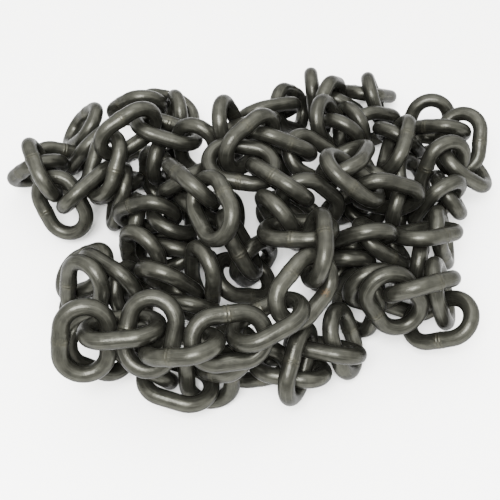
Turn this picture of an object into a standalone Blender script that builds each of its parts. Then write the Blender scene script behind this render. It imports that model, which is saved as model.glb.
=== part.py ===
"""Heap of welded short-link chain, in metres, +Z up, standing on z = 0.

Every link is the same racetrack ring of round bar. The links lie where they show in the
photograph: each one is given by the two pixels where the middles of its ends show, their
heights above the floor and its lean. settle() then does what gravity and the bars do to a
real heap: it keeps neighbours threaded through each other, moves bars apart until none
overlap, and lifts everything that would sink below the floor.
"""
import math

import bmesh
import bpy
import numpy as np
from mathutils import Vector

# Driving dimensions, in metres
BAR = 0.0100              # thickness of the bar, midway between flats and corners
LINK_LENGTH = 0.0500      # outside length of a link
LINK_WIDTH = 0.0360       # outside width of a link
GAP = 0.00040             # gap left between two bars that bear on each other
SIDES = 8                 # faces round the bar; two of them face along the link's own axis
END_STEPS = 5             # straight pieces in each half-round end
ROUND_BAR = 0.0101        # least room for two bars, so that truly round ones stay apart too
PIN_RADIUS = 0.0022       # bridge hidden between two links of one node, where they bear

# The photograph: a 500 by 500 frame, seen from in front and above
VIEW_PITCH = math.radians(55.0)
VIEW_DISTANCE = 0.539     # from the floor point at the middle of the frame
VIEW_FOCAL = 795.0        # pixels
VIEW_CENTRE = 250.0       # pixels

# How the heap comes to rest
STEPS = 640               # small moves in all
LOOSE_STEPS = 90          # first moves, which only thread the neighbours together
FREE_STEPS = 180          # moves at the end without a pull back to the traced places
LAST_STEPS = 170          # of these, moves with finely measured distances
FINAL_STEPS = 140         # of these, moves that only clear overlaps
DRAW_REACH = 0.0012       # bars nearer than this are drawn together by their weight
DRAW_SHARE = 0.15         # share of the room between them, for each move
HOLD = 0.30               # share of the way back to its traced place, for each move
SHY = 0.85                # share of the pull that is left out along the line of sight
ACROSS = 0.20             # share of a push that moves a link across the line of sight
TURNING = 0.30            # share of a push's turning effect that is kept
SEAT_INWARD = 0.003       # from a link's middle to where a neighbour's end may be drawn
SEAT_SLACK = 0.0005       # a neighbour's end this near to its seat is left alone
WEIGHT = 0.00003          # sinking of each link, for each move

# Derived, in metres
R = BAR / 2 / math.cos(math.pi / SIDES / 2)   # to the corners of the section
HALF_WIDE = (LINK_WIDTH - BAR) / 2
HALF_LONG = (LINK_LENGTH - BAR) / 2
LEG = HALF_LONG - HALF_WIDE
FLAT_HEIGHT = R * math.cos(math.pi / SIDES)   # of a link that lies flat, on the faces of its bar
MM = 0.001

EYE = np.array([0.0, -VIEW_DISTANCE * math.cos(VIEW_PITCH), VIEW_DISTANCE * math.sin(VIEW_PITCH)])
FORWARD = np.array([0.0, math.cos(VIEW_PITCH), -math.sin(VIEW_PITCH)])
UPWARD = np.array([0.0, math.sin(VIEW_PITCH), math.cos(VIEW_PITCH)])

# Each run of threaded links: how many links share a node, then one row for each link with
# u, v in pixels and height in mm for one end, the same for the other end, and the lean in
# degrees about the line between them (0 faces the camera, 90 shows the bar edge on). Two
# heights of 0 mean that the link lies flat on the floor.
RUNS = {
    "left_loop": (3, [
        (75, 166, 26, 99, 133, 44, 80),
        (86, 174, 12, 38, 156, 16, 205),
        (54, 160, 16, 25, 182, 14, -40),
        (29, 158, 24, 62, 194, 22, 85),
        (62, 180, 26, 78, 231, 8, 5),
        (72, 206, 24, 109, 165, 36, 80),
        (108, 197, 30, 112, 142, 40, -45),
        (104, 148, 46, 153, 114, 50, 42),
        (136, 127, 52, 194, 142, 42, -75),
        (196, 130, 36, 204, 170, 24, 50),
    ]),
    "back_left": (3, [
        (121, 118, 26, 153, 97, 34, 50),
        (149, 104, 36, 195, 119, 30, -50),
        (172, 104, 26, 172, 136, 14, 60),
    ]),
    "top_run": (2, [
        (329, 206, 46, 304, 191, 58, -30),
        (306, 205, 72, 253, 171, 72, -80),
        (268, 153, 58, 205, 159, 62, 52),
        (219, 157, 68, 272, 127, 70, 54),
        (252, 147, 66, 309, 149, 66, 82),
        (292, 148, 56, 345, 172, 50, -45),
    ]),
    "top_post": (2, [
        (228, 128, 50, 272, 118, 46, 80),
        (224, 112, 72, 227, 148, 56, 85),
    ]),
    "top_right": (2, [
        (305, 145, 56, 352, 163, 54, 68),
        (338, 163, 66, 383, 203, 64, -80),
        (370, 200, 50, 411, 198, 46, 45),
        (401, 194, 46, 409, 233, 26, -70),
    ]),
    "front_run": (3, [
        (85, 309, 46, 84, 365, 14, 0),
        (86, 331, 56, 158, 328, 58, -65),
        (158, 299, 52, 145, 368, 44, 0),
        (147, 346, 58, 214, 343, 62, -60),
        (194, 347, 66, 263, 332, 66, 40),
        (233, 343, 60, 296, 303, 66, -45),
        (283, 316, 66, 327, 261, 72, 32),
        (319, 277, 70, 319, 219, 80, -75),
        (329, 231, 62, 264, 231, 60, 65),
        (291, 238, 44, 270, 200, 64, -70),
    ]),
    "left_middle": (3, [
        (62, 283, 12, 102, 266, 20, -38),
        (88, 259, 44, 141, 290, 46, 48),
        (131, 277, 34, 138, 318, 24, -50),
    ]),
    "left_inner": (1, [
        (88, 266, 36, 89, 317, 20, 57),
    ]),
    "front_low": (2, [
        (79, 338, 26, 127, 344, 22, -30),
        (107, 368, 24, 180, 369, 24, -35),
        (163, 380, 18, 207, 408, 8, -25),
        (209, 404, 10, 208, 362, 32, 0),
        (205, 365, 34, 240, 352, 36, -70),
    ]),
    "front_edge": (2, [
        (220, 378, 15, 279, 367, 19, 33),
        (257, 366, 12, 322, 366, 14, -42),
        (306, 330, 34, 292, 400, 9, -66),
        (291, 349, 18, 357, 352, 22, 85),
        (334, 316, 24, 352, 367, 8, -58),
    ]),
    "right_end": (2, [
        (405, 319, 8, 467, 315, 9, -22),
        (441, 317, 10, 427, 274, 34, 68),
        (434, 268, 34, 393, 292, 38, 85),
        (380, 284, 36, 412, 316, 20, 0),
    ]),
    "right_side": (3, [
        (413, 134, 20, 463, 128, 26, 80),
        (463, 114, 34, 455, 160, 10, 0),
        (444, 151, 14, 475, 185, 10, -50),
        (467, 153, 28, 436, 192, 24, -70),
        (441, 178, 16, 438, 219, 8, 30),
        (436, 203, 24, 429, 247, 18, -60),
    ]),
    "right_corner": (2, [
        (395, 252, 32, 437, 237, 30, 85),
        (443, 214, 20, 437, 254, 8, 45),
    ]),
    "right_inner": (2, [
        (402, 298, 28, 358, 280, 34, -20),
        (366, 271, 26, 345, 310, 10, 0),
    ]),
    "right_fold": (2, [
        (382, 234, 50, 341, 256, 50, -70),
        (364, 238, 36, 404, 262, 28, -68),
    ]),
    "middle_right": (2, [
        (335, 195, 34, 352, 215, 28, 0),
        (372, 190, 34, 370, 214, 24, 0),
    ]),
    "middle_left": (3, [
        (208, 183, 66, 231, 233, 52, 55),
        (180, 185, 48, 209, 196, 58, 75),
        (172, 160, 36, 177, 195, 26, -20),
    ]),
    "inner_left": (2, [
        (164, 160, 38, 180, 162, 32, 0),
        (143, 170, 34, 160, 205, 22, 60),
    ]),
    "inner_low_left": (3, [
        (131, 190, 26, 138, 216, 16, -70),
        (132, 252, 30, 167, 213, 42, 45),
        (170, 200, 26, 174, 237, 32, 0),
    ]),
    "middle_low": (3, [
        (220, 216, 52, 243, 269, 42, -60),
        (240, 252, 36, 266, 275, 30, 0),
        (230, 280, 20, 262, 285, 20, -20),
    ]),
    "low_left": (1, [
        (146, 279, 34, 190, 293, 32, 80),
    ]),
    "low_left_front": (1, [
        (174, 299, 30, 222, 315, 30, 80),
    ]),
    "low_middle": (1, [
        (206, 250, 30, 192, 297, 14, 58),
    ]),
    "back_right_edge": (2, [
        (336, 81, 32, 350, 117, 16, 30),
        (335, 101, 34, 329, 116, 28, 80),
    ]),
    "back_right_low": (1, [
        (316, 88, 22, 312, 124, 8, 65),
    ]),
    "back_right_inner": (2, [
        (318, 113, 36, 338, 138, 28, -60),
        (340, 130, 44, 342, 142, 38, 40),
    ]),
    "back_right_under": (1, [
        (341, 117, 30, 352, 146, 20, 60),
    ]),
    "back_right_outer": (2, [
        (350, 88, 18, 374, 98, 18, 60),
        (366, 101, 34, 390, 117, 30, -40),
    ]),
    "back_right_tall": (2, [
        (397, 103, 30, 400, 151, 16, 35),
        (402, 138, 40, 391, 182, 40, 80),
    ]),
    "back_right_floor": (1, [
        (430, 119, 14, 408, 165, 6, 0),
    ]),
    "back_middle": (2, [
        (244, 120, 36, 292, 114, 36, 50),
        (283, 100, 24, 303, 112, 24, -20),
    ]),
    "deep_middle": (1, [
        (280, 160, 40, 281, 172, 34, 70),
    ]),
    "deep_right": (1, [
        (359, 158, 40, 360, 180, 30, 70),
    ]),
    "left_back": (1, [
        (96, 128, 16, 74, 146, 8, 60),
    ]),
    "left_under": (2, [
        (113, 175, 16, 112, 208, 10, -10),
        (118, 205, 16, 128, 240, 8, -75),
    ]),
    "back_right_deep": (1, [
        (350, 138, 17, 385, 137, 13, 60),
    ]),
    "right_deep": (1, [
        (398, 178, 30, 428, 193, 22, -60),
    ]),
    "right_low": (2, [
        (416, 256, 15, 411, 288, 8, 70),
        (390, 290, 8, 421, 317, 6, -35),
    ]),
    "front_deep": (2, [
        (336, 292, 26, 358, 258, 30, 80),
        (345, 268, 10, 318, 248, 8, 30),
    ]),
    "left_thin": (2, [
        (212, 244, 34, 191, 198, 44, -75),
        (205, 205, 14, 238, 215, 10, -30),
    ]),
    "left_deep": (2, [
        (202, 270, 18, 170, 245, 24, -78),
        (182, 254, 8, 145, 262, 6, 30),
    ]),
    "left_post": (1, [
        (140, 236, 26, 143, 275, 12, 70),
    ]),
    "left_floor": (1, [
        (78, 308, 0, 120, 318, 0, 0),
    ]),
    "inner_floor": (1, [
        (130, 178, 0, 168, 188, 0, 0),
    ]),
    "middle_floor": (1, [
        (270, 205, 0, 310, 225, 0, 0),
    ]),
}


def sight(u, v, z):
    """The point at height z that shows at pixel u, v."""
    along = FORWARD + (v - VIEW_CENTRE) / -VIEW_FOCAL * UPWARD
    along = along + np.array([(u - VIEW_CENTRE) / VIEW_FOCAL, 0.0, 0.0])
    return EYE + along * (z - EYE[2]) / along[2]


def lies_flat(row):
    """Whether a row's link lies flat on the floor, which it says with two heights of 0."""
    return row[2] == 0 and row[5] == 0


def traced(row):
    """Middle and axes (long, wide, through) of the link of one row, at its real length.

    The two ends keep their mean height, and the slope between them is the one that brings
    them nearest to a link's length apart.
    """
    ua, va, za, ub, vb, zb, lean = row
    if lies_flat(row):
        a, b = sight(ua, va, R), sight(ub, vb, R)
        along = (b - a) / np.linalg.norm(b - a)
        middle = (a + b) / 2 * [1, 1, 0] + [0, 0, FLAT_HEIGHT]
        return middle, np.stack([along, np.cross([0, 0, 1], along), [0, 0, 1]], 1)
    mean, side = (za + zb) / 2 * MM, 1 if za >= zb else -1
    best = None
    for rise in np.linspace(0, 0.020, 81):
        a, b = sight(ua, va, mean + side * rise), sight(ub, vb, mean - side * rise)
        error = abs(np.linalg.norm(b - a) - 2 * HALF_LONG)
        if best is None or error < best[0] - 1e-12:
            best = (error, a, b)
    a, b = best[1:]
    middle, along = (a + b) / 2, (b - a) / np.linalg.norm(b - a)
    level = np.cross(along, middle - EYE)
    level /= np.linalg.norm(level)
    lean = math.radians(lean)
    wide = level * math.cos(lean) + np.cross(along, level) * math.sin(lean)
    return middle, np.stack([along, wide, np.cross(along, wide)], 1)


def corners():
    """Middles of a link's cross-sections, in its own plane: the ends of both legs and the bends."""
    turn = np.pi * np.arange(END_STEPS + 1) / END_STEPS
    right = np.stack([LEG + HALF_WIDE * np.sin(turn), HALF_WIDE * np.cos(turn), 0 * turn], 1)
    return np.concatenate([right, -right])


def spread(count):
    """count points evenly along the line through the middle of a link's bar."""
    line = corners()
    ahead = np.roll(line, -1, 0) - line
    length = np.linalg.norm(ahead, axis=1)
    start = np.concatenate([[0], np.cumsum(length)])
    at = (np.arange(count) + 0.5) / count * start[-1]
    k = np.searchsorted(start, at, side="right") - 1
    return line[k] + ((at - start[k]) / length[k])[:, None] * ahead[k]


def outward_at(line):
    """Unit directions away from the link's middle, in its plane, at points of its line."""
    out = line - np.clip(line, [-LEG, 0, 0], [LEG, 0, 0])
    return out / np.linalg.norm(out, axis=1)[:, None]


def reach(outward, through, way):
    """How far a bar's faceted section reaches along way from its middle."""
    angle = np.arctan2(np.einsum("ij,ij->i", through, way), np.einsum("ij,ij->i", outward, way))
    return R * np.cos(angle % (2 * math.pi / SIDES) - math.pi / SIDES)


def turned(w):
    """Rotation matrices of small rotation vectors."""
    a = np.linalg.norm(w, axis=1)
    k = w / np.maximum(a, 1e-12)[:, None]
    s, c, o = np.sin(a)[:, None, None], np.cos(a)[:, None, None], 0 * a
    m = np.stack([o, -k[:, 2], k[:, 1], k[:, 2], o, -k[:, 0], -k[:, 1], k[:, 0], o], 1).reshape(-1, 3, 3)
    return np.eye(3) + s * m + (1 - c) * (m @ m)


def threaded(points, middle, axes, i, j):
    """For each pair, how often bar j passes through the opening of link i, signed."""
    q = np.einsum("pki,pij->pkj", points[j] - middle[i][:, None], axes[i])
    after = np.roll(q, -1, 1)
    crossing = q[..., 2] * after[..., 2] < 0
    t = q[..., 2] / np.where(crossing, q[..., 2] - after[..., 2], 1)
    x = q + t[..., None] * (after - q)
    beyond = np.maximum(np.abs(x[..., 0]) - LEG, 0)
    inside = crossing & (beyond ** 2 + x[..., 1] ** 2 < HALF_WIDE ** 2)
    return (np.sign(after[..., 2] - q[..., 2]) * inside).sum(1)


class Heap:
    """The links on their way from the traced places to rest."""

    def __init__(self, middle, axes, joined, fused, flat):
        self.middle, self.axes = middle.copy(), axes.copy()
        self.middle0, self.axes0 = middle.copy(), axes.copy()
        self.count = len(middle)
        self.joined, self.fused, self.flat = joined, fused, flat
        self.sightline = middle - EYE
        self.sightline /= np.linalg.norm(self.sightline, axis=1)[:, None]
        line = spread(96)
        spin = (line[:, :, None] * line[:, None, :]).mean(0)
        self.free_spin = np.linalg.inv(np.trace(spin) * np.eye(3) - spin)

    def sideways(self, k, way):
        """How links k give way to a push: fully along the line of sight, a share across it."""
        deep = np.einsum("ij,ij->i", way, self.sightline[k])[:, None] * self.sightline[k]
        return deep + ACROSS * (way - deep)

    def push(self, i, j, arm_i, arm_j, way, depth, share):
        """Move links i along way and links j against it by a share of depth, at the given arms."""
        ci, cj = np.cross(arm_i, way), np.cross(arm_j, way)
        ti = np.einsum("ijk,ik->ij", self.inertia[i], ci)
        tj = np.einsum("ijk,ik->ij", self.inertia[j], cj)
        si, sj = self.sideways(i, way), self.sideways(j, way)
        ease = (np.einsum("ij,ij->i", way, si + sj)
                + np.einsum("ij,ij->i", ci, ti) + np.einsum("ij,ij->i", cj, tj))
        lam = (share * depth / ease)[:, None]
        np.add.at(self.shift, i, lam * si)
        np.add.at(self.shift, j, -lam * sj)
        np.add.at(self.swing, i, lam * ti)
        np.add.at(self.swing, j, -lam * tj)

    def clear(self, points, line, gap, share, draw):
        """Push apart bars nearer than gap, at up to three places for each pair of links.

        Bars that are nearly as near are drawn together a little, as their weight would do.
        """
        count = points.shape[1]
        step = np.abs(np.arange(count)[:, None] - np.arange(count))
        near = np.minimum(step, count - step) <= count // 7
        outward = outward_at(line) @ self.axes.transpose(0, 2, 1)
        between = points[self.i][:, :, None] - points[self.j][:, None]
        square = (between ** 2).sum(-1).reshape(len(self.i), -1)
        for turn in range(3):
            at = square.argmin(1)
            dist = np.sqrt(square[np.arange(len(at)), at])
            a, b = at // count, at % count
            pa, pb = points[self.i, a], points[self.j, b]
            way = (pa - pb) / np.maximum(dist, 1e-9)[:, None]
            apart = (gap + reach(outward[self.i, a], self.axes[self.i][:, :, 2], -way)
                     + reach(outward[self.j, b], self.axes[self.j][:, :, 2], way))
            room = dist - np.maximum(apart, ROUND_BAR)
            hit = (room < 0) & ~self.amiss
            if draw and turn == 0:
                slack = (room > gap) & (room < DRAW_REACH)
                k = np.nonzero(slack & ~self.amiss)[0]
                i, j = self.i[k], self.j[k]
                self.push(i, j, pa[k] - self.middle[i], pb[k] - self.middle[j], -way[k],
                          room[k] - gap, DRAW_SHARE)
            if not hit.any():
                return
            i, j = self.i[hit], self.j[hit]
            self.push(i, j, pa[hit] - self.middle[i], pb[hit] - self.middle[j], way[hit], -room[hit], share)
            beside = near[a][:, :, None] & near[b][:, None]
            square = np.where(beside.reshape(len(at), -1), 1.0, square)

    def thread(self):
        """Draw the ends of neighbours that aren't threaded into each other's openings, and
        turn them across each other."""
        if not self.lost.any():
            return
        ji, jj, si, sj = self.joined[self.lost].T
        for bi, bj, ei, ej in ((ji, jj, si, sj), (jj, ji, sj, si)):
            long_i, long_j = self.axes[bi][:, :, 0], self.axes[bj][:, :, 0]
            end = self.middle[bj] + long_j * (ej * HALF_LONG)[:, None]
            t = np.einsum("ij,ij->i", end - self.middle[bi], long_i) * ei
            seat = self.middle[bi] + long_i * (ei * np.clip(t, SEAT_INWARD, HALF_LONG - BAR))[:, None]
            off = seat - end
            dist = np.linalg.norm(off, axis=1)
            m = dist > SEAT_SLACK
            if m.any():
                self.push(bj[m], bi[m], (end - self.middle[bj])[m], (seat - self.middle[bi])[m],
                          off[m] / dist[m][:, None], dist[m] - SEAT_SLACK, 0.5)
            wide, through = self.axes[bj][:, :, 1], self.axes[bi][:, :, 2]
            dot = np.einsum("ij,ij->i", wide, through)
            m = np.abs(dot) < 0.72
            if m.any():
                axis = np.cross(wide, through * np.where(dot < 0, -1.0, 1.0)[:, None])
                axis /= np.maximum(np.linalg.norm(axis, axis=1), 1e-9)[:, None]
                for b, side, long in ((bj, 1.0, long_j), (bi, -1.0, long_i)):
                    twist = 0.05 * side * np.einsum("ij,ij->i", axis, long)
                    np.add.at(self.swing, b[m], (twist[:, None] * long + 0.015 * side * axis)[m])

    def bear(self, points):
        """Draw together the links of one node until their bars bear on each other."""
        if not len(self.fused):
            return
        i, j = self.fused.T
        between = points[i][:, :, None] - points[j][:, None]
        square = (between ** 2).sum(-1).reshape(len(i), -1)
        at = square.argmin(1)
        dist = np.sqrt(square[np.arange(len(at)), at])
        pa, pb = points[i, at // points.shape[1]], points[j, at % points.shape[1]]
        m = dist > BAR + GAP
        if m.any():
            self.push(i[m], j[m], (pa - self.middle[i])[m], (pb - self.middle[j])[m],
                      ((pb - pa) / dist[:, None])[m], (dist - BAR - GAP)[m], 0.4)

    def floor(self, points):
        """Lift links whose bar would pass below the floor."""
        lowest = points[:, :, 2].argmin(1)
        height = points[np.arange(self.count), lowest, 2]
        k = np.nonzero(height < R)[0]
        if len(k):
            arm = points[k, lowest[k]] - self.middle[k]
            up = np.tile([0.0, 0.0, 1.0], (len(k), 1))
            c = np.cross(arm, up)
            t = np.einsum("ijk,ik->ij", self.inertia[k], c)
            lam = (1.0 * (R - height[k]) / (1 + np.einsum("ij,ij->i", c, t)))[:, None]
            np.add.at(self.shift, k, lam * up)
            np.add.at(self.swing, k, lam * t)

    def settle(self):
        """Move all links step by step to rest."""
        ji, jj = self.joined[:, 0], self.joined[:, 1]
        keys = np.minimum(ji, jj) * self.count + np.maximum(ji, jj)
        coarse, fine = spread(40), spread(84)
        for step in range(STEPS):
            loose, free = step < LOOSE_STEPS, step >= STEPS - FREE_STEPS
            last = step >= STEPS - LAST_STEPS
            line, gap = (fine, GAP) if last else (coarse, GAP + 0.0001)
            if step % 10 == 0:
                apart = np.linalg.norm(self.middle[:, None] - self.middle[None], axis=2)
                self.i, self.j = np.nonzero(np.triu(apart < LINK_LENGTH + 0.006, 1))
            points = self.middle[:, None] + line @ self.axes.transpose(0, 2, 1)
            self.inertia = TURNING * self.axes @ self.free_spin @ self.axes.transpose(0, 2, 1)
            self.shift, self.swing = np.zeros((self.count, 3)), np.zeros((self.count, 3))
            if step % 5 == 0:
                passes = threaded(points, self.middle, self.axes, self.i, self.j)
                neighbours = np.isin(self.i * self.count + self.j, keys)
                self.amiss = np.where(neighbours, passes == 0, passes != 0)
                self.lost = threaded(points, self.middle, self.axes, ji, jj) == 0
            tangled = self.amiss & ~neighbours
            if tangled.any() and not free:
                a, b = self.i[tangled], self.j[tangled]
                way = EYE - (self.middle[a] + self.middle[b]) / 2
                way /= np.linalg.norm(way, axis=1)[:, None]
                way *= np.where(self.middle0[a, 2] >= self.middle0[b, 2], MM, -MM)[:, None]
                np.add.at(self.shift, a, way)
                np.add.at(self.shift, b, -way)
            if not loose:
                self.clear(points, line, gap, 0.6, draw=step < STEPS - FINAL_STEPS)
            self.thread()
            self.bear(points)
            self.floor(points)
            if not free:
                share = HOLD * (0.3 if loose else 1.0)
                back = self.middle0 - self.middle
                deep = np.einsum("ij,ij->i", back, self.sightline)[:, None] * self.sightline
                self.shift += share * (back - SHY * deep)
                self.shift[:, 2] -= WEIGHT
                d = self.axes0 @ self.axes.transpose(0, 2, 1)
                d = np.stack([d[:, 2, 1] - d[:, 1, 2], d[:, 0, 2] - d[:, 2, 0], d[:, 1, 0] - d[:, 0, 1]], 1)
                self.swing += share * d
            size = np.linalg.norm(self.shift, axis=1)[:, None]
            self.shift *= np.minimum(1, 0.002 / np.maximum(size, 1e-12))
            size = np.linalg.norm(self.swing, axis=1)[:, None]
            self.swing *= np.minimum(1, 0.12 / np.maximum(size, 1e-12))
            self.middle = np.round(self.middle + self.shift, 9)
            axes = np.round(turned(self.swing) @ self.axes, 9)
            long, through = axes[:, :, 0], np.cross(axes[:, :, 0], axes[:, :, 1])
            long[self.flat, 2], through[self.flat] = 0, [0, 0, 1]
            self.middle[self.flat, 2] = FLAT_HEIGHT
            long /= np.linalg.norm(long, axis=1)[:, None]
            through /= np.linalg.norm(through, axis=1)[:, None]
            self.axes = np.stack([long, np.cross(through, long), through], 2)


def lay_links():
    """Names, poses and node groups of all links, from RUNS."""
    rows, groups, joined, fused = [], [], [], []
    for name, (share, links) in RUNS.items():
        first = len(rows)
        rows += links
        for k in range(0, len(links), share):
            members = list(range(first + k, first + min(k + share, len(links))))
            label = name if len(links) <= share else f"{name}_{k // share + 1}"
            groups.append((label, members))
            fused += [(a, a + 1) for a in members[:-1]]
        joined += [(first + k, first + k + 1) for k in range(len(links) - 1)]
    places = [traced(row) for row in rows]
    middle = np.array([p[0] for p in places])
    axes = np.array([p[1] for p in places])
    ends = []
    for i, j in joined:
        near = [(np.linalg.norm(middle[i] + 0.6 * HALF_LONG * a * axes[i][:, 0]
                                - middle[j] - 0.6 * HALF_LONG * b * axes[j][:, 0]), a, b)
                for a in (1, -1) for b in (1, -1)]
        ends.append((i, j) + min(near)[1:])
    flat = np.array([lies_flat(row) for row in rows])
    return middle, axes, np.array(ends), np.array(fused).reshape(-1, 2), flat, groups


def link_corners(middle, axes):
    """Corners of a link's cross-sections, one row of points for each section."""
    line = corners()
    outward = outward_at(line)
    angle = 2 * np.pi * (np.arange(SIDES) + 0.5) / SIDES
    rim = np.cos(angle)[:, None] * outward[:, None] + np.sin(angle)[:, None] * np.array([0.0, 0.0, 1.0])
    return middle + (line[:, None] + R * rim) @ axes.T


def centred(middle, axes):
    """The links moved sideways all together, until their box stands over the origin."""
    points = np.concatenate([link_corners(m, a).reshape(-1, 3) for m, a in zip(middle, axes)])
    return middle - (points.min(0) + points.max(0)) / 2 * [1, 1, 0]


def link_mesh(bm, middle, axes):
    """One link: its sections bridged into a closed ring."""
    rings = [[bm.verts.new(Vector(p)) for p in ring] for ring in link_corners(middle, axes)]
    for here, there in zip(rings, rings[1:] + rings[:1]):
        for k in range(SIDES):
            m = (k + 1) % SIDES
            bm.faces.new((here[k], here[m], there[m], there[k]))


def pin_mesh(bm, a, b):
    """A short bridge from the middle of one bar to the middle of the next."""
    along = (b - a) / np.linalg.norm(b - a)
    side = np.cross(along, [0.0, 0.0, 1.0] if abs(along[2]) < 0.9 else [1.0, 0.0, 0.0])
    side /= np.linalg.norm(side)
    up = np.cross(along, side)
    start, end = [], []
    for k in range(SIDES):
        t = 2 * math.pi * (k + 0.3) / SIDES
        rim = PIN_RADIUS * (math.cos(t) * side + math.sin(t) * up)
        start.append(bm.verts.new(Vector(a + rim)))
        end.append(bm.verts.new(Vector(b + rim)))
    for k in range(SIDES):
        m = (k + 1) % SIDES
        bm.faces.new((start[k], start[m], end[m], end[k]))
    bm.faces.new(start[::-1])
    bm.faces.new(end)


def solid(name, fill, material):
    """A named object whose mesh the function fill makes, with its faces turned outward."""
    mesh = bpy.data.meshes.new(name)
    bm = bmesh.new()
    fill(bm)
    bmesh.ops.recalc_face_normals(bm, faces=bm.faces)
    bm.to_mesh(mesh)
    bm.free()
    mesh.materials.append(material)
    obj = bpy.data.objects.new(name, mesh)
    bpy.context.scene.collection.objects.link(obj)
    return obj


def steel(name, shade):
    """Dark self-coloured steel, satin."""
    material = bpy.data.materials.new(name)
    material.use_nodes = True
    shader = material.node_tree.nodes["Principled BSDF"]
    shader.inputs["Base Color"].default_value = (0.075 * shade, 0.074 * shade, 0.064 * shade, 1.0)
    shader.inputs["Metallic"].default_value = 0.9
    shader.inputs["Roughness"].default_value = 0.42
    return material


def bearing(points, i, j):
    """The two nearest points of two bars."""
    between = points[i][:, None] - points[j][None]
    at = (between ** 2).sum(-1).argmin()
    return points[i][at // len(points[j])], points[j][at % len(points[j])]


def main():
    for old in list(bpy.data.objects):
        bpy.data.objects.remove(old, do_unlink=True)
    middle, axes, joined, fused, flat, groups = lay_links()
    heap = Heap(middle, axes, joined, fused, flat)
    heap.settle()
    axes = heap.axes
    middle = centred(heap.middle, axes)
    points = middle[:, None] + spread(240) @ axes.transpose(0, 2, 1)
    for number, (name, members) in enumerate(groups):
        material = steel(f"{name}_steel", 0.92 + 0.04 * (number % 5))
        parts = [solid(name if k == 0 else f"{name}_part", lambda bm, k=k: link_mesh(bm, middle[members[k]],
                       axes[members[k]]), material) for k in range(len(members))]
        for a, b in zip(members, members[1:]):
            pa, pb = bearing(points, a, b)
            parts.append(solid(f"{name}_pin", lambda bm, pa=pa, pb=pb: pin_mesh(bm, pa, pb), material))
        if len(parts) > 1:
            fuse(parts, material)
        parts[0].data.shade_smooth()
        parts[0].data.set_sharp_from_angle(angle=math.radians(50))


def fuse(parts, material):
    """Join the solids of one node into the first of them."""
    body = parts[0]
    for other in parts[1:]:
        union = body.modifiers.new("union", "BOOLEAN")
        union.operation, union.solver, union.object = "UNION", "EXACT", other
    bpy.context.view_layer.update()
    fused = bpy.data.meshes.new_from_object(body.evaluated_get(bpy.context.evaluated_depsgraph_get()))
    body.modifiers.clear()
    fused.name = body.name
    fused.materials.clear()
    fused.materials.append(material)
    body.data = fused
    for other in parts[1:]:
        bpy.data.objects.remove(other, do_unlink=True)


main()
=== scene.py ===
"""Looks of a heap of welded short-link chain: round satin bar, butt welds, pale studio."""
import math

import bpy
import numpy as np
from mathutils import Matrix


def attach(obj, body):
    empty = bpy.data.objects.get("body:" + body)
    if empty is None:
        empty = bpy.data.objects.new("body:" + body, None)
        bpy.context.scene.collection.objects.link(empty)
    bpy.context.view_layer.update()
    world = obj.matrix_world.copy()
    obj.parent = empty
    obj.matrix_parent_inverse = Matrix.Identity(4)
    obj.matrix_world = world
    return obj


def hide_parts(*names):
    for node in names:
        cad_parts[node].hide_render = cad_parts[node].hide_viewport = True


bl_info = {
    "name": "Chain heap",
    "version": (1, 0, 0),
    "blender": (4, 5, 0),
    "location": "3D Viewport > Sidebar > Chain",
    "description": "Round links with butt welds in place of a faceted heap of chain",
    "category": "Add Mesh",
}

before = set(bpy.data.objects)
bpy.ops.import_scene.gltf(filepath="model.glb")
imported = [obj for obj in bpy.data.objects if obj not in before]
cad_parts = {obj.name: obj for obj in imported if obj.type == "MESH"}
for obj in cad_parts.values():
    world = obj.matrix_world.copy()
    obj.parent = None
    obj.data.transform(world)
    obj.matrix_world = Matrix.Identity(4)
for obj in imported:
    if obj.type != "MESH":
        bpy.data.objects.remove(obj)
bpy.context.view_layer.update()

MM = 0.001

# Link, in metres, as the frame has it
LINK_LENGTH = 0.050
LINK_WIDTH = 0.036
BAR = 0.010
HALF_WIDE = (LINK_WIDTH - BAR) / 2        # radius of a bend, and from a link's middle to a leg's
LEG = (LINK_LENGTH - LINK_WIDTH) / 2      # half of a straight leg
BEND = math.pi * HALF_WIDE                # along the bar's middle line
LINE_LENGTH = 2 * BEND + 4 * LEG          # once round the middle line
FRAME_SIDES = 8                           # faces round the bar of a frame link
CORNER = BAR / 2 / math.cos(math.pi / FRAME_SIDES / 2)   # from the bar's middle to a corner
EDGE_SLACK = 0.01 * MM                    # by which lengths in the frame may be off
PARALLEL = 0.9999                         # least cosine between edges that run the same way

# Grid of a round link
ROUND_STEPS = 24
BEND_STEPS = 20
WELD_STEPS = 9                            # on each side of the weld
BESIDE_STEPS = 4                          # from the weld's end to the end of its leg
FAR_LEG_STEPS = 6

# Shape of the bar at its weld and elsewhere
WELD_REACH = 3.2 * MM                     # of the swelling, to each side
SWELL_LEAST, SWELL_MORE = 0.6, 0.8        # of the set swelling, from link to link
RIDGE_PLACE = 1.0 * MM                    # from the weld's middle
RIDGE_REACH = 0.33 * MM
RIDGE_ALL_ROUND = 0.65                    # share of a ridge that is the same all round
GROOVE_REACH = 0.3 * MM
GROOVE_DEPTH = 0.7                        # share of a ridge's height
UNEVENNESS = 0.05 * MM                    # half of how far the bar's radius dips
DIPS = 3                                  # once round the middle line
ANY_TURN = 6                              # makes an angle of a number from 0 to 1
SEED = 11                                 # of the numbers that make links differ

# Surface of the steel
FILM_BLOTCH = 6 * MM
FLECK = 1.1 * MM
DENT = 4 * MM
MARK_LENGTH = 12 * MM
MARK_WIDTH = 0.83 * MM
TINT_REACH, TINT_FULL = 3.4 * MM, 0.8 * MM
RUST_SPOT = (0.0431, -0.0871, 0.0653)     # in the frame, on a leg of the front run
RUST_REACH, RUST_FULL = 3.6 * MM, 1.2 * MM

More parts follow.
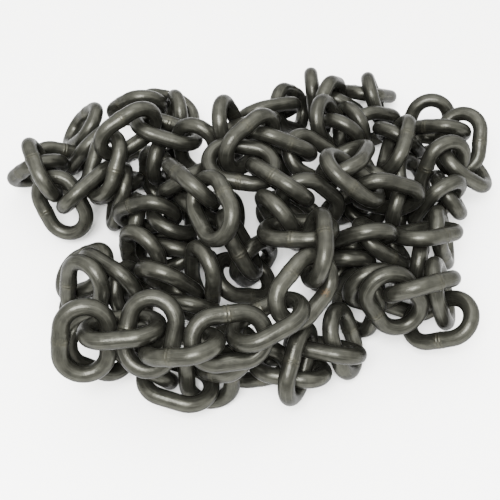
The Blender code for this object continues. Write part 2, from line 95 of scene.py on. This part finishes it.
# Settings that several nodes share
SMOOTH = {"interpolation_type": "SMOOTHSTEP"}
ADD = {"operation": "ADD"}
MULTIPLY = {"operation": "MULTIPLY"}
COLOURS = {"data_type": "RGBA"}           # a mix of colours: inputs 0, 6 and 7, output 2

# The photograph's view, in its 500 by 500 frame
VIEW_PITCH = math.radians(55.0)
VIEW_DISTANCE = 0.539
VIEW_FOCAL_PIXELS = 795.0
FRAME_PIXELS = 500.0
SENSOR = 36.0
VIEW_SHIFT = (0.00106, -0.01243)          # from the middle of the heap to the middle of the view

# Stage, in metres: lights, surround and floor
KEY_PLACE, KEY_SIZE = (-0.15, -0.55, 1.05), 0.50
TOP_PLACE, TOP_SIZE = (0.1, 0.35, 1.2), 0.9
TOP_SHARE = 0.2                           # of the key light's power
LIT_HEIGHT = 0.03
SURROUND = "#f5f5f2"
SURROUND_LOW, SURROUND_HIGH = 2.7, 5.2    # strength level with the floor and overhead
SURROUND_RISE = (0.15, 0.8)               # sines of the heights between which it grows
FLOOR_HALF, FLOOR_TOP = 12.0, -0.0002


def linear(code):
    """Linear RGBA of an sRGB hex colour."""
    values = [int(code[k:k + 2], 16) / 255 for k in (1, 3, 5)]
    return tuple(v / 12.92 if v <= 0.04045 else ((v + 0.055) / 1.055) ** 2.4 for v in values) + (1.0,)


def node(tree, kind, settings=None, inputs=None, output=0):
    """Add a node and return one of its outputs. An input is a socket to link or a value to set."""
    made = tree.nodes.new(kind)
    for name, value in (settings or {}).items():
        setattr(made, name, value)
    for name, value in (inputs or {}).items():
        if isinstance(value, bpy.types.NodeSocket):
            tree.links.new(value, made.inputs[name])
        else:
            made.inputs[name].default_value = value
    return made.outputs[output] if made.outputs else None


def leg_edges(obj):
    """Middles and directions of a frame node's edges that are as long as a straight leg."""
    mesh = obj.data
    points = np.empty(len(mesh.vertices) * 3, np.float32)
    mesh.vertices.foreach_get("co", points)
    ends = np.empty(len(mesh.edges) * 2, np.int32)
    mesh.edges.foreach_get("vertices", ends)
    a, b = points.reshape(-1, 3).astype(float)[ends.reshape(-1, 2).T]
    length = np.linalg.norm(b - a, axis=1)
    leg = np.abs(length - 2 * LEG) < EDGE_SLACK
    middle, way = (a + b)[leg] / 2, (b - a)[leg] / length[leg][:, None]
    _, first = np.unique(np.round(middle / EDGE_SLACK).astype(int), axis=0, return_index=True)
    return middle[first], way[first]


def links_in(obj):
    """Middle and axes (long, wide, through) of each link in a frame node.

    The corners of a leg's section are opposite each other in pairs, and the middle of each
    pair is the middle of the leg. Two legs side by side make a link.
    """
    middle, way = leg_edges(obj)
    links = []
    while len(middle):
        off = middle - middle[0]
        same = np.abs(way @ way[0]) > PARALLEL
        same &= np.abs(off @ way[0]) < 5 * EDGE_SLACK
        same &= np.linalg.norm(off, axis=1) < 2 * (HALF_WIDE + CORNER) + 5 * EDGE_SLACK
        own, along = middle[same], way[0]
        middle, way = middle[~same], way[~same]
        if len(own) < FRAME_SIDES:
            continue                       # a stray edge of the bridge between two links
        apart = np.linalg.norm(own[:, None] - own[None], axis=2)
        i, j = np.nonzero(np.triu(np.abs(apart - 2 * CORNER) < 4 * EDGE_SLACK))
        pair = (own[i] + own[j]) / 2
        first = np.linalg.norm(pair - pair[:1], axis=1) < BAR / 2
        if first.all():
            raise RuntimeError(f"{obj.name}: a link without two whole legs")
        one, two = pair[first].mean(0), pair[~first].mean(0)
        long = along * (1 if along[np.abs(along).argmax()] > 0 else -1)
        wide = (two - one) / np.linalg.norm(two - one)
        links.append(((one + two) / 2, np.stack([long, wide, np.cross(long, wide)], 1)))
    if not links:
        raise RuntimeError(f"{obj.name}: no link found")
    return links


def link_weights(count):
    """A fixed series of numbers from 0 to 1, one row of three for each link."""
    return np.random.default_rng(SEED).random((count, 3))


def stations():
    """Distances along a link's middle line from its weld, close together at the weld."""
    weld = np.linspace(-WELD_REACH, WELD_REACH, 2 * WELD_STEPS + 1)
    beside = np.linspace(WELD_REACH, LEG, BESIDE_STEPS + 1)[1:]
    bend = LEG + np.linspace(0, BEND, BEND_STEPS + 1)[1:]
    far_leg = bend[-1] + np.linspace(0, 2 * LEG, FAR_LEG_STEPS + 1)[1:]
    other_bend = far_leg[-1] + np.linspace(0, BEND, BEND_STEPS + 1)[1:-1]
    back = LINE_LENGTH - np.linspace(LEG, WELD_REACH, BESIDE_STEPS + 1)[:-1]
    return np.concatenate([weld, beside, bend, far_leg, other_bend, back])


def middle_line(s):
    """Points, outward directions and bentness, in the link's plane, at distances s from the weld.

    Two half circles of radius HALF_WIDE joined by two straight legs of length 2 LEG; the
    weld is halfway along the leg on the wide side. Bentness is 0 on the legs and 1 at the
    middle of a bend.
    """
    s = s % LINE_LENGTH
    turn = np.clip((s - LEG) / HALF_WIDE, 0, math.pi)
    turn = turn + np.clip((s - 3 * LEG - BEND) / HALF_WIDE, 0, math.pi)
    outward = np.stack([np.sin(turn), np.cos(turn)], 1)
    run = np.clip(s, 0, LEG) - np.clip(s - LEG - BEND, 0, 2 * LEG) + np.clip(s - 3 * LEG - 2 * BEND, 0, LEG)
    return np.stack([run, 0 * run], 1) + HALF_WIDE * outward, outward, np.abs(np.sin(turn))


def turned_to_room(links):
    """The links, each turned in its own plane to have its weld on the leg with more room round it."""
    line = middle_line(stations())[0]
    lines = np.stack([middle + line @ axes[:, :2].T for middle, axes in links])
    turned = []
    for k, (middle, axes) in enumerate(links):
        others = np.delete(lines, k, 0).reshape(-1, 3) - middle
        room = [np.linalg.norm(others - side * HALF_WIDE * axes[:, 1], axis=1).min() for side in (1, -1)]
        turned.append((middle, axes if room[0] >= room[1] else axes * [-1, -1, 1]))
    return turned


def bell(distance, reach):
    """A bell curve: e to the power of minus the square of distance over reach."""
    return np.exp(-(distance / reach) ** 2)


def link_surface(middle, axes, weights, sizes):
    """A link as a grid: distance s from the weld by angle t round the bar.

    The point is the middle line at s plus the radius times (cos t outward + sin t through).
    The radius swells by a bell curve at the weld, with a low ridge on each side of a fine
    groove where the squeezed-out metal was trimmed off, and dips a little elsewhere. In
    the bends the section is a little flatter in the link's plane, as bending leaves it.
    """
    s = stations()
    t = math.pi + np.arange(ROUND_STEPS) / ROUND_STEPS * 2 * math.pi   # the seam lies inside the link
    line, outward, bent = middle_line(s)
    near = (s + LINE_LENGTH / 2) % LINE_LENGTH - LINE_LENGTH / 2
    lift, turn, tone = weights
    swell = sizes.weld_swell * (SWELL_LEAST + SWELL_MORE * lift) * bell(near, WELD_REACH)
    ridges = bell(near - RIDGE_PLACE, RIDGE_REACH) + bell(near + RIDGE_PLACE, RIDGE_REACH)
    trimmed = sizes.ridge_height * (ridges - GROOVE_DEPTH * bell(near, GROOVE_REACH))
    around = RIDGE_ALL_ROUND + (1 - RIDGE_ALL_ROUND) * np.cos(t + ANY_TURN * tone)
    uneven = UNEVENNESS * np.sin(DIPS * 2 * math.pi * s / LINE_LENGTH + ANY_TURN * turn)
    radius = sizes.bar / 2 + swell[:, None] + trimmed[:, None] * around
    radius = radius + uneven[:, None] * np.cos(t + ANY_TURN * lift) - UNEVENNESS
    flat = 1 - sizes.bend_flattening * bent[:, None]
    in_plane = line[:, None] + (radius * flat * np.cos(t))[..., None] * outward[:, None]
    grid = np.concatenate([in_plane, (radius * np.sin(t))[..., None]], 2)
    return middle + grid @ axes.T, near


def closed_grid(rows, columns):
    """Quads of a grid that closes both ways, wound so that they face outward."""
    k = np.arange(rows * columns).reshape(rows, columns)
    after, beside = np.roll(k, -1, 0), np.roll(k, -1, 1)
    corner = np.roll(after, -1, 1)
    return np.stack([k, beside, corner, after], -1).reshape(-1, 4)


def bar_places(rows, columns):
    """UV of the quads of such a grid: u along the bar and v round it, each from 0 to 1."""
    corner = np.stack(np.meshgrid(np.arange(rows), np.arange(columns), indexing="ij"), -1).reshape(-1, 2)
    step = np.array([[0, 0], [0, 1], [1, 1], [1, 0]])
    return (corner[:, None] + step[None]) / [rows, columns]


def make_links(obj, links, weights, sizes, material):
    """One mesh with all links of a frame node, and the UV map and attributes of its material."""
    points, quads, near_weld, tones = [], [], [], []
    for (middle, axes), row in zip(links, weights):
        grid, near = link_surface(middle, axes, row, sizes)
        quads.append(closed_grid(*grid.shape[:2]) + sum(len(p) for p in points))
        points.append(grid.reshape(-1, 3))
        near_weld.append(np.repeat(near, ROUND_STEPS))
        tones.append(np.full(len(points[-1]), row[2]))
    points, quads = np.concatenate(points), np.concatenate(quads)
    mesh = bpy.data.meshes.new(f"{obj.name}_links")
    mesh.from_pydata(points, [], quads)
    mesh.polygons.foreach_set("use_smooth", np.ones(len(quads), bool))
    for name, values in (("from_weld", near_weld), ("link_tone", tones)):
        layer = mesh.attributes.new(name, "FLOAT", "POINT")
        layer.data.foreach_set("value", np.concatenate(values).astype(np.float32))
    uv = np.tile(bar_places(len(stations()), ROUND_STEPS).reshape(-1), len(links))
    mesh.uv_layers.new(name="bar").data.foreach_set("uv", uv.astype(np.float32))
    mesh.materials.append(material)
    mesh.update()
    made = bpy.data.objects.new(f"{obj.name}_links", mesh)
    bpy.context.scene.collection.objects.link(made)
    return made


def film_colour(tree, finish, film, fleck, drawn):
    """Colour of scale and oil: mottled, a little different from link to link, rubbed in streaks."""
    mottle = node(tree, "ShaderNodeMapRange", SMOOTH, {"Value": film, "From Min": 0.34, "From Max": 0.68})
    base = node(tree, "ShaderNodeMix", COLOURS,
                {0: mottle, 6: linear(finish.steel_dark), 7: linear(finish.steel_light)}, 2)
    tone = node(tree, "ShaderNodeAttribute", {"attribute_name": "link_tone"}, output="Fac")
    value = node(tree, "ShaderNodeMapRange", None, {"Value": tone, "To Min": 0.82, "To Max": 1.18})
    toned = node(tree, "ShaderNodeHueSaturation", None, {"Color": base, "Value": value})
    oil = node(tree, "ShaderNodeMapRange", SMOOTH,
               {"Value": fleck, "From Min": 0.5, "From Max": 0.8, "To Max": 0.35})
    oiled = node(tree, "ShaderNodeMix", COLOURS, {0: oil, 6: toned, 7: linear(finish.oil_brown)}, 2)
    streaks = node(tree, "ShaderNodeMapRange", SMOOTH,
                   {"Value": drawn, "From Min": 0.50, "From Max": 0.72, "To Max": 0.4})
    return node(tree, "ShaderNodeMix", COLOURS, {0: streaks, 6: oiled, 7: linear(finish.rubbed)}, 2)


def weld_tinted(tree, finish, colour, fleck):
    """The colour with heat tint on squeezed metal, in flecks, within about 2 mm of the weld."""
    near = node(tree, "ShaderNodeAttribute", {"attribute_name": "from_weld"}, output="Fac")
    distance = node(tree, "ShaderNodeMath", {"operation": "ABSOLUTE"}, {0: near})
    tint = node(tree, "ShaderNodeMapRange", SMOOTH,
                {"Value": distance, "From Min": TINT_REACH, "From Max": TINT_FULL, "To Max": 0.75})
    patchy = node(tree, "ShaderNodeMapRange", SMOOTH, {"Value": fleck, "From Min": 0.40, "From Max": 0.62})
    share = node(tree, "ShaderNodeMath", MULTIPLY, {0: tint, 1: patchy})
    return node(tree, "ShaderNodeMix", COLOURS, {0: share, 6: colour, 7: linear(finish.weld_straw)}, 2)


def rusted(tree, finish, colour, place, fleck):
    """The colour with one dull patch of rust, about 5 mm across, on the leg nearest to the camera."""
    away = node(tree, "ShaderNodeVectorMath", {"operation": "DISTANCE"}, {0: place, 1: RUST_SPOT}, "Value")
    patch = node(tree, "ShaderNodeMapRange", SMOOTH,
                 {"Value": away, "From Min": RUST_REACH, "From Max": RUST_FULL})
    broken = node(tree, "ShaderNodeMapRange", SMOOTH, {"Value": fleck, "From Min": 0.42, "From Max": 0.60})
    share = node(tree, "ShaderNodeMath", MULTIPLY, {0: patch, 1: broken})
    return node(tree, "ShaderNodeMix", COLOURS, {0: share, 6: colour, 7: linear(finish.rust)}, 2)


def satin_roughness(tree, film, fleck, drawn):
    """Roughness about 0.33, a little different under the oil, along the marks and in the flecks."""
    oiled = node(tree, "ShaderNodeMapRange", None, {"Value": film, "To Min": 0.29, "To Max": 0.37})
    marked = node(tree, "ShaderNodeMapRange", None, {"Value": drawn, "To Min": -0.05, "To Max": 0.05})
    flecked = node(tree, "ShaderNodeMapRange", None, {"Value": fleck, "To Min": -0.12, "To Max": 0.12})
    streaky = node(tree, "ShaderNodeMath", ADD, {0: oiled, 1: marked})
    return node(tree, "ShaderNodeMath", ADD, {0: streaky, 1: flecked})


def tumbled_surface(tree, place, fleck, drawn):
    """Normal of the surface: fine flecks and marks, over shallow dents about 4 mm across."""
    marked = node(tree, "ShaderNodeMapRange", None, {"Value": drawn, "To Max": 0.8})
    height = node(tree, "ShaderNodeMath", ADD, {0: fleck, 1: marked})
    fine = node(tree, "ShaderNodeBump", None, {"Height": height, "Strength": 0.7, "Distance": 0.11 * MM})
    dents = node(tree, "ShaderNodeTexNoise", None,
                 {"Vector": place, "Scale": 1 / DENT, "Detail": 1.0, "Roughness": 0.4})
    return node(tree, "ShaderNodeBump", None,
                {"Height": dents, "Normal": fine, "Strength": 0.6, "Distance": 0.30 * MM})


def satin_steel(finish):
    """Self-coloured welded steel chain: hot-formed bar with its thin black scale, tumbled and oiled.

    Tumbling leaves a smooth satin surface: broad soft highlights, with fine marks along the
    bar and an olive-brown film of oil. The butt weld is a little brighter, with heat tint.
    """
    material = bpy.data.materials.new("Self-coloured satin steel")
    material.use_nodes = True
    tree = material.node_tree
    tree.nodes.clear()
    place = node(tree, "ShaderNodeTexCoord", output="Object")
    bar = node(tree, "ShaderNodeUVMap", {"uv_map": "bar"})
    # Oil film: blotches about 6 mm across
    film = node(tree, "ShaderNodeTexNoise", None,
                {"Vector": place, "Scale": 1 / FILM_BLOTCH, "Detail": 3.0, "Roughness": 0.55})
    # Scale left by rolling: flecks about 1 mm across, coarser than real ones, the finest that show
    fleck = node(tree, "ShaderNodeTexNoise", None,
                 {"Vector": place, "Scale": 1 / FLECK, "Detail": 2.0, "Roughness": 0.6})
    # Drawing marks, in whole numbers round the link and round its bar, as coarse as they need to show
    marks = (round(LINE_LENGTH / MARK_LENGTH), round(math.pi * BAR / MARK_WIDTH), 1)
    stretched = node(tree, "ShaderNodeMapping", None, {"Vector": bar, "Scale": marks})
    drawn = node(tree, "ShaderNodeTexNoise", None, {"Vector": stretched, "Scale": 1.0, "Detail": 2.0})

    colour = film_colour(tree, finish, film, fleck, drawn)
    colour = weld_tinted(tree, finish, colour, fleck)
    colour = rusted(tree, finish, colour, place, fleck)
    roughness = satin_roughness(tree, film, fleck, drawn)
    normal = tumbled_surface(tree, place, fleck, drawn)
    shader = node(tree, "ShaderNodeBsdfPrincipled", None,
                  {"Base Color": colour, "Roughness": roughness, "Normal": normal,
                   "Metallic": finish.metallic, "Specular Tint": linear(finish.edge),
                   "Coat Weight": finish.oil, "Coat Roughness": 0.22})
    node(tree, "ShaderNodeOutputMaterial", None, {"Surface": shader})
    return material


def white_board(settings):
    """Uncoated white board, rolled smooth: an even matt white with hardly any shine."""
    material = bpy.data.materials.new("Matt white board")
    material.use_nodes = True
    shader = material.node_tree.nodes["Principled BSDF"]
    shader.inputs["Base Color"].default_value = linear(settings.floor)
    shader.inputs["Roughness"].default_value = 0.9
    shader.inputs["Specular IOR Level"].default_value = 0.1
    return material


def pale_floor(settings):
    """A large plain floor: the plane of two parameters x and y, a hair below height 0."""
    corners = [(x * FLOOR_HALF, y * FLOOR_HALF, FLOOR_TOP) for x, y in ((-1, -1), (1, -1), (1, 1), (-1, 1))]
    mesh = bpy.data.meshes.new("floor")
    mesh.from_pydata(corners, [], [(0, 1, 2, 3)])
    mesh.materials.append(white_board(settings))
    floor = bpy.data.objects.new("floor", mesh)
    bpy.context.scene.collection.objects.link(floor)
    return floor


def facing(place, target):
    """Matrix of something at place that looks at target down its own -Z, with +Z of the world up."""
    back = np.subtract(place, target) / np.linalg.norm(np.subtract(place, target))
    side = np.cross([0.0, 0.0, 1.0], back)
    side = side / np.linalg.norm(side) if side.any() else np.array([1.0, 0.0, 0.0])
    matrix = np.eye(4)
    matrix[:3, :3] = np.stack([side, np.cross(back, side), back], 1)
    matrix[:3, 3] = place
    return Matrix(matrix.tolist())


def soft_light(name, place, size, power):
    """A square area light at place, turned to the heap."""
    lamp = bpy.data.lights.new(name, "AREA")
    lamp.shape, lamp.size, lamp.energy = "SQUARE", size, power
    obj = bpy.data.objects.new(name, lamp)
    obj.matrix_world = facing(place, (*VIEW_SHIFT, LIT_HEIGHT))
    bpy.context.scene.collection.objects.link(obj)


def soft_lights(settings):
    """One broad light above the camera and one weaker overhead."""
    soft_light("key", KEY_PLACE, KEY_SIZE, settings.key)
    soft_light("top", TOP_PLACE, TOP_SIZE, settings.key * TOP_SHARE)


def pale_surround():
    """A pale surround that is weaker level with the floor than overhead, as in a light tent."""
    world = bpy.data.worlds.new("surround")
    world.use_nodes = True
    tree = world.node_tree
    way = node(tree, "ShaderNodeTexCoord", output="Generated")
    upward = node(tree, "ShaderNodeSeparateXYZ", None, {0: way}, "Z")
    strength = node(tree, "ShaderNodeMapRange", SMOOTH,
                    {"Value": upward, "From Min": SURROUND_RISE[0], "From Max": SURROUND_RISE[1],
                     "To Min": SURROUND_LOW, "To Max": SURROUND_HIGH})
    background = tree.nodes["Background"]
    background.inputs["Color"].default_value = linear(SURROUND)
    tree.links.new(strength, background.inputs["Strength"])
    bpy.context.scene.world = world


def look_from(settings):
    """The camera of the photograph."""
    x, y = VIEW_SHIFT
    back, height = settings.distance * math.cos(settings.pitch), settings.distance * math.sin(settings.pitch)
    lens = bpy.data.cameras.new("photograph")
    lens.sensor_width, lens.lens = SENSOR, VIEW_FOCAL_PIXELS / FRAME_PIXELS * SENSOR
    lens.clip_start, lens.clip_end = 0.01, 20.0
    camera = bpy.data.objects.new("photograph", lens)
    camera.matrix_world = facing((x, y - back, height), (x, y, 0.0))
    bpy.context.scene.collection.objects.link(camera)
    bpy.context.scene.camera = camera


class ChainSizes(bpy.types.PropertyGroup):
    bar: bpy.props.FloatProperty(name="Bar", description="Thickness of the round bar", default=BAR,
                                 unit="LENGTH")
    weld_swell: bpy.props.FloatProperty(name="Weld swell", description="How far the bar swells at its weld",
                                        default=0.00030, unit="LENGTH")
    ridge_height: bpy.props.FloatProperty(name="Ridge", description="Height of the trimmed edges of the weld",
                                          default=0.00018, unit="LENGTH")
    bend_flattening: bpy.props.FloatProperty(name="Bend flattening",
                                             description="Share by which the bar is flattened in its bends",
                                             default=0.02, subtype="FACTOR")


class ChainFinish(bpy.types.PropertyGroup):
    steel_dark: bpy.props.StringProperty(name="Dark steel", description="sRGB hex of the darker film",
                                         default="#242420")
    steel_light: bpy.props.StringProperty(name="Light steel", description="sRGB hex of the lighter film",
                                          default="#2e2e29")
    oil_brown: bpy.props.StringProperty(name="Oil", description="sRGB hex of the oil in the scale",
                                        default="#29271f")
    rubbed: bpy.props.StringProperty(name="Rubbed steel", description="sRGB hex of the rubbed streaks",
                                     default="#42423c")
    edge: bpy.props.StringProperty(name="Edge", description="sRGB hex of the shine at grazing angles",
                                   default="#6a6a68")
    weld_straw: bpy.props.StringProperty(name="Weld tint", description="sRGB hex of the heat tint",
                                         default="#34332b")
    rust: bpy.props.StringProperty(name="Rust", description="sRGB hex of the rust patch", default="#45392a")
    metallic: bpy.props.FloatProperty(name="Metallic", description="How metallic the surface looks",
                                      default=0.74, subtype="FACTOR")
    oil: bpy.props.FloatProperty(name="Oil film", description="Weight of the clear oil film",
                                 default=0.06, subtype="FACTOR")


class ChainStage(bpy.types.PropertyGroup):
    pitch: bpy.props.FloatProperty(name="Pitch", description="How steeply the camera looks down",
                                   default=VIEW_PITCH, subtype="ANGLE", unit="ROTATION")
    distance: bpy.props.FloatProperty(name="Distance", description="From the camera to the floor it looks at",
                                      default=VIEW_DISTANCE, unit="LENGTH")
    floor: bpy.props.StringProperty(name="Floor", description="sRGB hex of the floor", default="#fbfbfa")
    key: bpy.props.FloatProperty(name="Key light", description="Power of the soft light above", default=48.0,
                                 unit="POWER")


class CHAIN_OT_links(bpy.types.Operator):
    """Put round links in place of the faceted ones"""
    bl_idname = "chain.links"
    bl_label = "Round links"

    def execute(self, context):
        sizes, finish = context.scene.chain_sizes, context.scene.chain_finish
        steel = satin_steel(finish)
        found = {name: links_in(obj) for name, obj in sorted(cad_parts.items())}
        turned = turned_to_room([link for links in found.values() for link in links])
        weights = link_weights(len(turned))
        first = 0
        for name, links in found.items():
            own = slice(first, first + len(links))
            made = make_links(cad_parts[name], turned[own], weights[own], sizes, steel)
            first = own.stop
            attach(made, "root")
            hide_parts(name)
        return {"FINISHED"}


class CHAIN_OT_stage(bpy.types.Operator):
    """Lay the pale floor, hang the soft lights and set the camera"""
    bl_idname = "chain.stage"
    bl_label = "Stage"

    def execute(self, context):
        settings = context.scene.chain_stage
        floor = pale_floor(settings)
        soft_lights(settings)
        pale_surround()
        look_from(settings)
        return {"FINISHED"}


class CHAIN_PT_sidebar(bpy.types.Panel):
    bl_label = "Chain heap"
    bl_space_type = "VIEW_3D"
    bl_region_type = "UI"
    bl_category = "Chain"

    def draw(self, context):
        for group in (context.scene.chain_sizes, context.scene.chain_finish, context.scene.chain_stage):
            box = self.layout.box()
            for name in group.bl_rna.properties.keys():
                if name not in ("rna_type", "name"):
                    box.prop(group, name)
        self.layout.operator("chain.links")
        self.layout.operator("chain.stage")


CLASSES = (ChainSizes, ChainFinish, ChainStage, CHAIN_OT_links, CHAIN_OT_stage, CHAIN_PT_sidebar)


def register():
    for cls in CLASSES:
        bpy.utils.register_class(cls)
    bpy.types.Scene.chain_sizes = bpy.props.PointerProperty(type=ChainSizes)
    bpy.types.Scene.chain_finish = bpy.props.PointerProperty(type=ChainFinish)
    bpy.types.Scene.chain_stage = bpy.props.PointerProperty(type=ChainStage)


def unregister():
    del bpy.types.Scene.chain_stage, bpy.types.Scene.chain_finish, bpy.types.Scene.chain_sizes
    for cls in reversed(CLASSES):
        bpy.utils.unregister_class(cls)


def main():
    register()
    bpy.ops.chain.stage()
    bpy.ops.chain.links()


if __name__ == "__main__":
    main()
